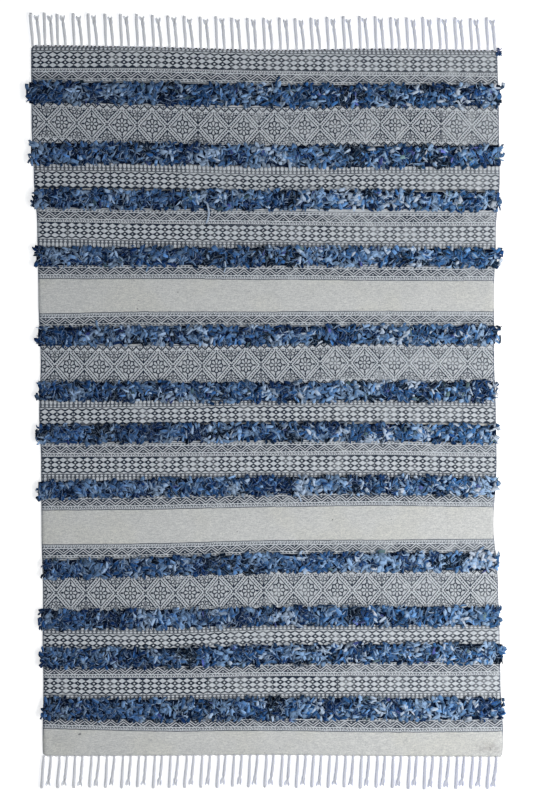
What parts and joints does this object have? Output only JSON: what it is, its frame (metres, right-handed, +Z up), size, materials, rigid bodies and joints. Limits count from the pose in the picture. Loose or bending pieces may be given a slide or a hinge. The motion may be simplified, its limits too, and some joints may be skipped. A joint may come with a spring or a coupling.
{
  "type": "shag rug",
  "caption": "Flat-woven cotton floor rug with block-printed bands, raised rows of cut denim shag and twisted tassel fringes at both ends.",
  "frame": {"origin": "on the floor under the middle of the rug", "axes": "+X across the rug to the right, +Y along the rug to the top end, +Z up from the floor"},
  "size_m": [1.2472, 2.0199, 0.0217],
  "materials": {
    "printed_cotton": "matt hand-woven cotton, block printed in slate blue bands",
    "denim_clippings": "matt cut denim strips in mixed blues",
    "fringe_cotton": "matt twisted cotton warp"
  },
  "bodies": {
    "root": {"ground_cloth": "printed_cotton", "shag_row_01": "denim_clippings", "shag_row_02": "denim_clippings", "shag_row_03": "denim_clippings", "shag_row_04": "denim_clippings", "shag_row_05": "denim_clippings", "shag_row_06": "denim_clippings", "shag_row_07": "denim_clippings", "shag_row_08": "denim_clippings", "shag_row_09": "denim_clippings", "shag_row_10": "denim_clippings", "shag_row_11": "denim_clippings", "shag_row_12": "denim_clippings", "fringe_top": "fringe_cotton", "fringe_bottom": "fringe_cotton"}
  },
  "joints": []
}
